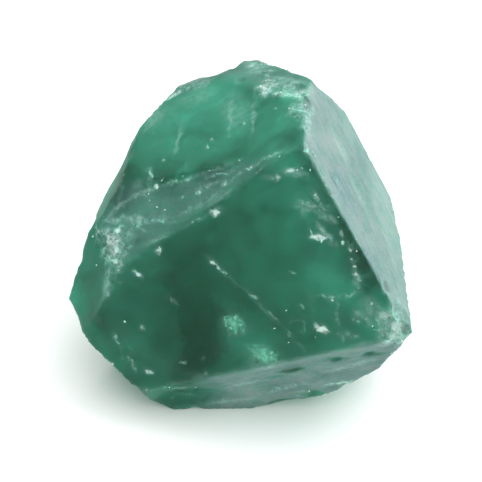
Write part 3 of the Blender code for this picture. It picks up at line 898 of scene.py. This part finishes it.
veil_stuff = bpy.data.materials.new("Healed crack")
veil_stuff.use_nodes = True
tree = veil_stuff.node_tree
tree.nodes.clear()
mm = in_millimetres(tree)
lit = put(tree, "ShaderNodeBsdfPrincipled")
lit.inputs["Roughness"].default_value = 0.35
lit.inputs["IOR"].default_value = BERYL_IOR
# A painted glow: the flakes give off light of their own.
lit.inputs["Emission Strength"].default_value = 1.0
sugar, crumb = broken(tree, mm, 1.8)
mint_and_glow_share = span(tree, sugar, 0.40, 0.60)
tree.links.new(blend(tree, mint_and_glow_share, FLAKE_GREEN, FLAKE_MINT), lit.inputs["Base Color"])
tree.links.new(blend(tree, mint_and_glow_share, PAINTED_GLOW_GREEN, PAINTED_GLOW_MINT), lit.inputs["Emission Color"])
surface = put(tree, "ShaderNodeOutputMaterial")
tree.links.new(lit.outputs[0], surface.inputs["Surface"])

sheet = bmesh.new()
for compass, height, half_length, half_width, slope, below in VEILS:
    middle, outwards, lengthways, sideways = lie_of(compass, height, slope)
    heart_of_veil = spots[middle] + HEART - outwards * below
    rim = []
    for side in range(VEIL_SIDES):
        angle = math.tau * side / VEIL_SIDES
        wander = noise.noise(Vector((3.0 * math.cos(angle), 3.0 * math.sin(angle), compass)))
        edge = (1.0 + VEIL_RAGGED * wander) * (lengthways * half_length * math.cos(angle)
                                               + sideways * half_width * math.sin(angle))
        rim.append(sheet.verts.new(Vector(heart_of_veil + edge) * MM))
    crown = sheet.verts.new(Vector(heart_of_veil + outwards * VEIL_RISE) * MM)
    for side in range(VEIL_SIDES):
        sheet.faces.new((crown, rim[side], rim[(side + 1) % VEIL_SIDES]))
veil_sheet = bpy.data.meshes.new("veil_sheet")
sheet.to_mesh(veil_sheet)
sheet.free()
keep(veil_sheet, "fullness", np.tile([RIM_FULLNESS] * VEIL_SIDES + [1.0], len(VEILS)))

tree, points, turn, placed = scatter_tree("Scatter veil flakes", "fullness", FLAKE_SQUASH,
                                          FLAKE_TILT)
flake = put(tree, "GeometryNodeMeshCircle", fill_type="NGON")
flake.inputs["Vertices"].default_value = 6
flake.inputs["Radius"].default_value = 1.0
tilted = put(tree, "FunctionNodeRotateRotation", rotation_space="LOCAL")
tree.links.new(points.outputs["Rotation"], tilted.inputs["Rotation"])
tree.links.new(turn.outputs[0], tilted.inputs["Rotate By"])
tree.links.new(tilted.outputs[0], placed.inputs["Rotation"])
tree.links.new(flake.outputs["Mesh"], placed.inputs["Instance"])
veils = strew(veil_sheet, tree, "inner_veils", FLAKES_PER_MM2, FLAKE_SPACING, FLAKE_RADIUS,
              VEIL_SEED, veil_stuff)
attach(veils, "root")

# ------------------------------------------------------------------------------------------------
# The floor, the light and the camera. A plain white table under one broad soft lamp from above
# and behind the right, with the room dark on the camera's side.
# ------------------------------------------------------------------------------------------------
FLOOR_SIDE = 2.4
ROOM_BRIGHTEST = Vector((0.45, 0.10, 0.89)).normalized()
ROOM_DIM, ROOM_BRIGHT = 0.20, 2.0
LAMP_ACROSS = 0.40
LAMP_POWER = 0.85                        # watts
LAMP_PLACE = Vector((0.28, 0.16, 0.40))
LAMP_AIM = Vector((0.0, 0.0, 0.015))
CAMERA_HEIGHT = math.radians(40)
CAMERA_DISTANCE = 153.97                 # mm
AIM_BELOW_HEART = 0.46                   # mm, up the picture

bpy.ops.mesh.primitive_plane_add(size=FLOOR_SIDE)
floor = bpy.context.object
floor.name = "floor"
white_table = bpy.data.materials.new("White table")
white_table.use_nodes = True
table_shader = white_table.node_tree.nodes["Principled BSDF"]
table_shader.inputs["Base Color"].default_value = (0.9, 0.9, 0.9, 1.0)
table_shader.inputs["Roughness"].default_value = 0.8
table_shader.inputs["Specular IOR Level"].default_value = 0.0
floor.data.materials.append(white_table)

room = bpy.data.worlds.new("Studio")
bpy.context.scene.world = room
room.use_nodes = True
tree = room.node_tree
sky = tree.nodes["Background"]
facing = put(tree, "ShaderNodeVectorMath", operation="DOT_PRODUCT")
facing.inputs[1].default_value = ROOM_BRIGHTEST
tree.links.new(put(tree, "ShaderNodeTexCoord").outputs["Generated"], facing.inputs[0])
glow = span(tree, facing.outputs["Value"], 0.05, 0.85, ROOM_DIM, ROOM_BRIGHT, "SMOOTHSTEP")
tree.links.new(glow, sky.inputs["Strength"])
backdrop = put(tree, "ShaderNodeBackground")
seen = put(tree, "ShaderNodeLightPath")
choose = put(tree, "ShaderNodeMixShader")
tree.links.new(seen.outputs["Is Camera Ray"], choose.inputs[0])
tree.links.new(sky.outputs[0], choose.inputs[1])
tree.links.new(backdrop.outputs[0], choose.inputs[2])
tree.links.new(choose.outputs[0], tree.nodes["World Output"].inputs["Surface"])
for background in (sky, backdrop):
    background.inputs["Color"].default_value = (1.0, 1.0, 1.0, 1.0)

lamp = bpy.data.lights.new("Soft lamp", "AREA")
lamp.shape = "DISK"
lamp.size = LAMP_ACROSS
lamp.energy = LAMP_POWER
lamp_stand = bpy.data.objects.new("Soft lamp", lamp)
lamp_stand.location = LAMP_PLACE
lamp_stand.rotation_euler = (LAMP_AIM - LAMP_PLACE).to_track_quat("-Z", "Y").to_euler()
bpy.context.scene.collection.objects.link(lamp_stand)

camera = bpy.data.cameras.new("Camera")
camera.lens = 100
camera.sensor_width = 36
camera.clip_start = 0.01
viewer = bpy.data.objects.new("Camera", camera)
bpy.context.scene.collection.objects.link(viewer)
towards = Vector((0, -math.cos(CAMERA_HEIGHT), math.sin(CAMERA_HEIGHT)))
upwards = Vector((0, math.sin(CAMERA_HEIGHT), math.cos(CAMERA_HEIGHT)))
viewer.location = (Vector(HEART) - upwards * AIM_BELOW_HEART + towards * CAMERA_DISTANCE) * MM
viewer.rotation_euler = (-towards).to_track_quat("-Z", "Y").to_euler()
bpy.context.scene.camera = viewer
bpy.context.scene.view_settings.view_transform = "Standard"
